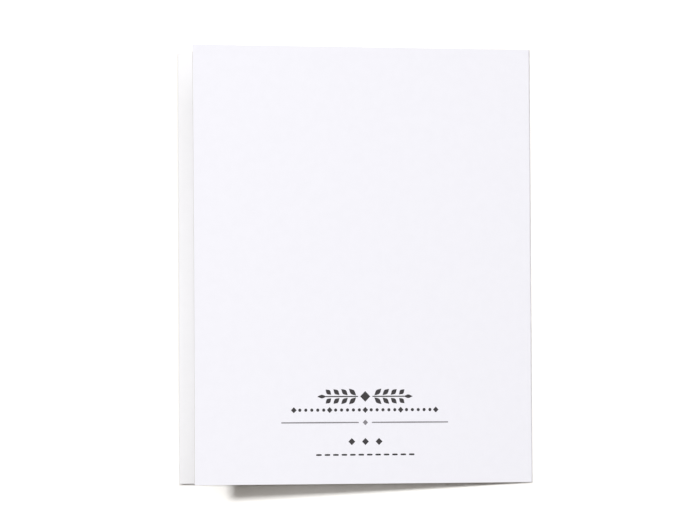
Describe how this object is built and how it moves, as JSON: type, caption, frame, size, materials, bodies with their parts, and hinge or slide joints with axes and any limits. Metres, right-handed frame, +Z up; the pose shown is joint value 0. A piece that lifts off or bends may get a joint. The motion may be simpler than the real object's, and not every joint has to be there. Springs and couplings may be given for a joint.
{
  "type": "greeting card",
  "caption": "Folded greeting card of smooth white cover stock, lying on its front leaf with its back leaf sprung up off it.",
  "frame": {"origin": "centre of the card's footprint, on the outside face of the front leaf", "axes": "+Y along the fold, towards the card's top edge; +X from the free edges to the fold; +Z up, normal to the front leaf"},
  "size_m": [0.1142, 0.1396, 0.0475],
  "materials": {
    "cover_stock": "smooth uncoated cover stock"
  },
  "bodies": {
    "root": {"folded_card": "cover_stock"}
  },
  "joints": []
}
